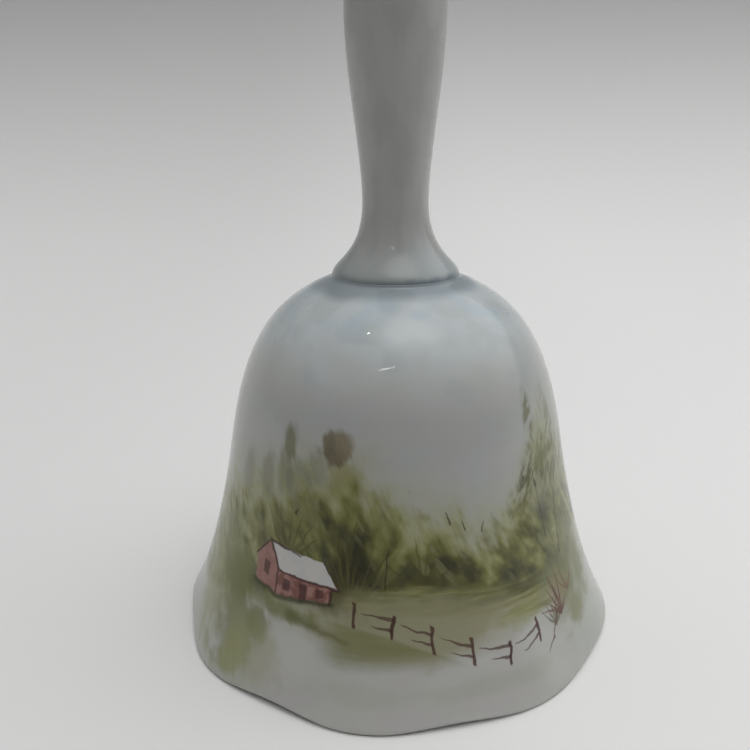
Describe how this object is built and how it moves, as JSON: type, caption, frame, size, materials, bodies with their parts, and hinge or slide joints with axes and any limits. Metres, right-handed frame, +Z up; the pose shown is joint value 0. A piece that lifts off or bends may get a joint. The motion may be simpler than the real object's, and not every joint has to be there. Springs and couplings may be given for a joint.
{
  "type": "porcelain hand bell",
  "caption": "Hand-painted porcelain dinner bell with a lobed flared rim, a baluster handle and a ball clapper on a short wire chain.",
  "frame": {"origin": "centre of the circle that the rim stands on", "axes": "+Z up the handle along the bell's axis of symmetry, -Y towards the painted front"},
  "size_m": [0.0826, 0.0826, 0.133],
  "materials": {
    "painted_glaze": "painted countryside in soft greens under a glossy clear glaze",
    "white_glaze": "plain glossy white glaze, tinted blue at the foot",
    "plaster": "matt hand-smoothed plaster cement",
    "brass_wire": "drawn wire, lightly tarnished",
    "bead_glaze": "glossy white glaze"
  },
  "bodies": {
    "bell": {"bell_body": "painted_glaze", "handle": "white_glaze", "cement_plug": "plaster", "hanger_eye": "brass_wire"},
    "link_1": {"chain_link_1": "brass_wire"},
    "link_2": {"chain_link_2": "brass_wire"},
    "link_3": {"chain_link_3": "brass_wire"},
    "clapper": {"clapper_pin": "brass_wire", "clapper_ball": "bead_glaze"}
  },
  "joints": [
    {"name": "eye_to_link_1", "type": "hinge", "parent": "bell", "child": "link_1", "pos_m": [0, 0, 0.0563], "axis": [1, 0, 0], "range_deg": [-20, 20]},
    {"name": "link_1_to_link_2", "type": "hinge", "parent": "link_1", "child": "link_2", "pos_m": [0, 0, 0.0483], "axis": [0, 1, 0], "range_deg": [-20, 20]},
    {"name": "link_2_to_link_3", "type": "hinge", "parent": "link_2", "child": "link_3", "pos_m": [0, 0, 0.0403], "axis": [1, 0, 0], "range_deg": [-16, 16]},
    {"name": "link_3_to_clapper", "type": "hinge", "parent": "link_3", "child": "clapper", "pos_m": [0, 0, 0.0323], "axis": [0, 1, 0], "range_deg": [-16, 16]}
  ]
}
